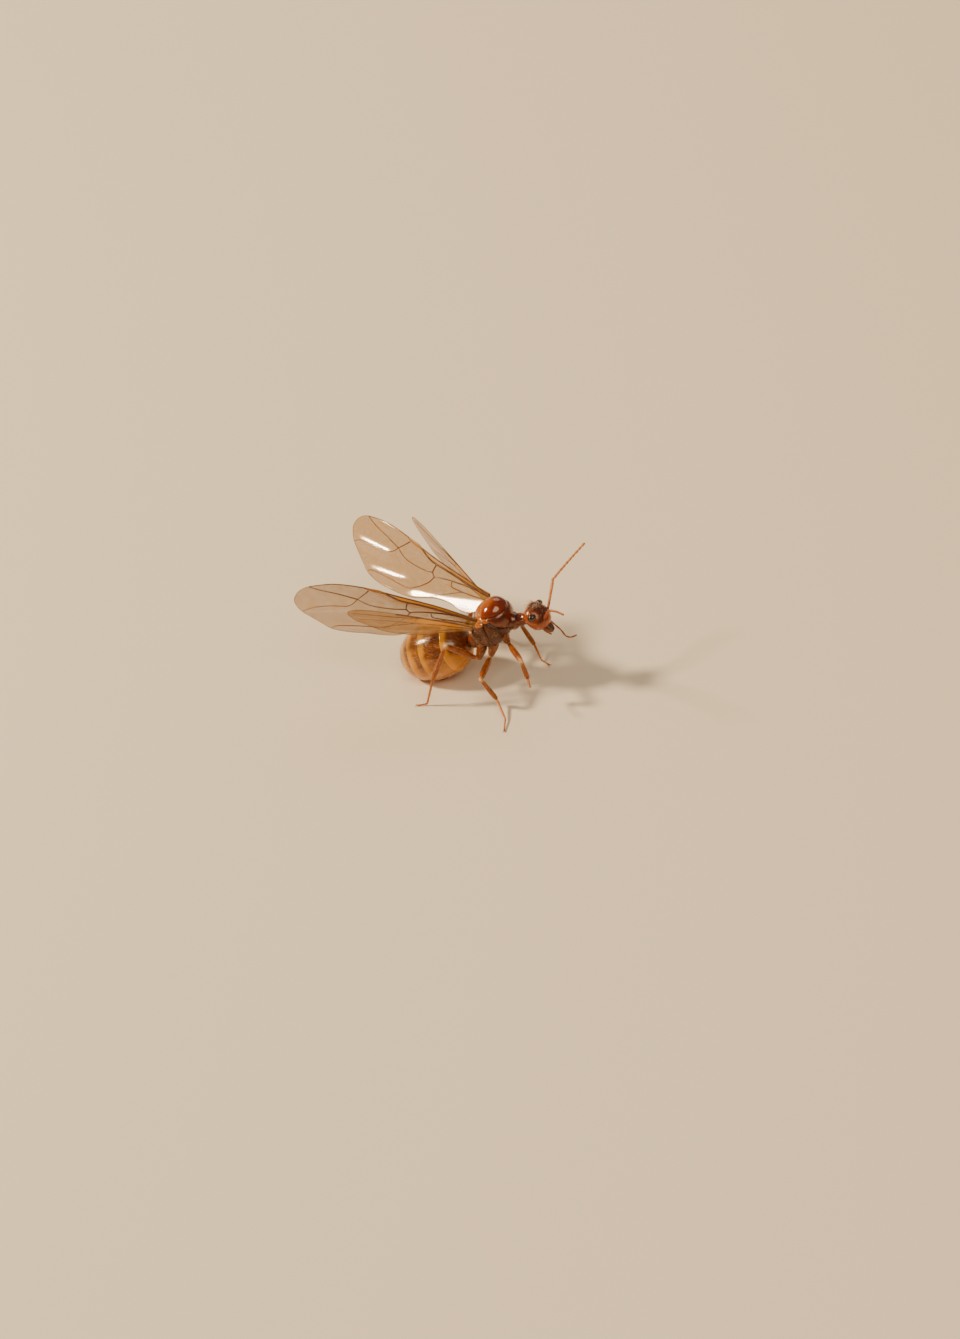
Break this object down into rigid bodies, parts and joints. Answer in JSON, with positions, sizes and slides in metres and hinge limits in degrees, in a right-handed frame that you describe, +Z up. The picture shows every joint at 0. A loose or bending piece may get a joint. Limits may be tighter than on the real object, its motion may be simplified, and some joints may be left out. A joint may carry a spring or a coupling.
{
  "type": "winged queen ant",
  "caption": "Life-size still model of a winged queen ant, standing with one front foot lifted and its wings held back, one pair raised and one spread.",
  "frame": {"origin": "on the floor, under the middle of the bounding box", "axes": "+X the way the head points, +Y the ant's left, +Z up"},
  "size_m": [0.0142, 0.0092, 0.0064],
  "materials": {
    "head_shell": "glossy",
    "eye_black": "glossy",
    "back_shell": "glossy",
    "side_shell": "satin",
    "gaster_shell": "satin",
    "leg_amber": "satin",
    "feeler_amber": "satin",
    "wing_membrane": "glossy"
  },
  "bodies": {
    "root": {"head": "head_shell", "mandible_left": "head_shell", "mandible_right": "head_shell", "eye_left": "eye_black", "eye_right": "eye_black", "ocellus_front": "eye_black", "ocellus_left": "eye_black", "ocellus_right": "eye_black", "scutum": "back_shell", "scutellum": "back_shell", "pronotum": "side_shell", "mesopleuron": "side_shell", "propodeum": "side_shell", "neck": "side_shell", "petiole": "gaster_shell", "gaster_1": "gaster_shell", "gaster_2": "gaster_shell", "gaster_3": "gaster_shell", "gaster_4": "gaster_shell", "gaster_5": "gaster_shell", "leg_front_left_coxa": "leg_amber", "leg_front_left_femur": "leg_amber", "leg_front_left_tibia": "leg_amber", "leg_front_left_tarsus": "leg_amber", "leg_front_right_coxa": "leg_amber", "leg_front_right_femur": "leg_amber", "leg_front_right_tibia": "leg_amber", "leg_front_right_tarsus": "leg_amber", "leg_mid_left_coxa": "leg_amber", "leg_mid_left_femur": "leg_amber", "leg_mid_left_tibia": "leg_amber", "leg_mid_left_tarsus": "leg_amber", "leg_mid_right_coxa": "leg_amber", "leg_mid_right_femur": "leg_amber", "leg_mid_right_tibia": "leg_amber", "leg_mid_right_tarsus": "leg_amber", "leg_hind_left_coxa": "leg_amber", "leg_hind_left_femur": "leg_amber", "leg_hind_left_tibia": "leg_amber", "leg_hind_left_tarsus": "leg_amber", "leg_hind_right_coxa": "leg_amber", "leg_hind_right_femur": "leg_amber", "leg_hind_right_tibia": "leg_amber", "leg_hind_right_tarsus": "leg_amber", "scape_left": "feeler_amber", "scape_right": "feeler_amber", "funiculus_left": "feeler_amber", "funiculus_right": "feeler_amber", "palp_left": "feeler_amber", "palp_right": "feeler_amber", "tegula_left": "feeler_amber", "tegula_right": "feeler_amber", "forewing_left": "wing_membrane", "forewing_right": "wing_membrane", "hindwing_left": "wing_membrane", "hindwing_right": "wing_membrane"}
  },
  "joints": []
}
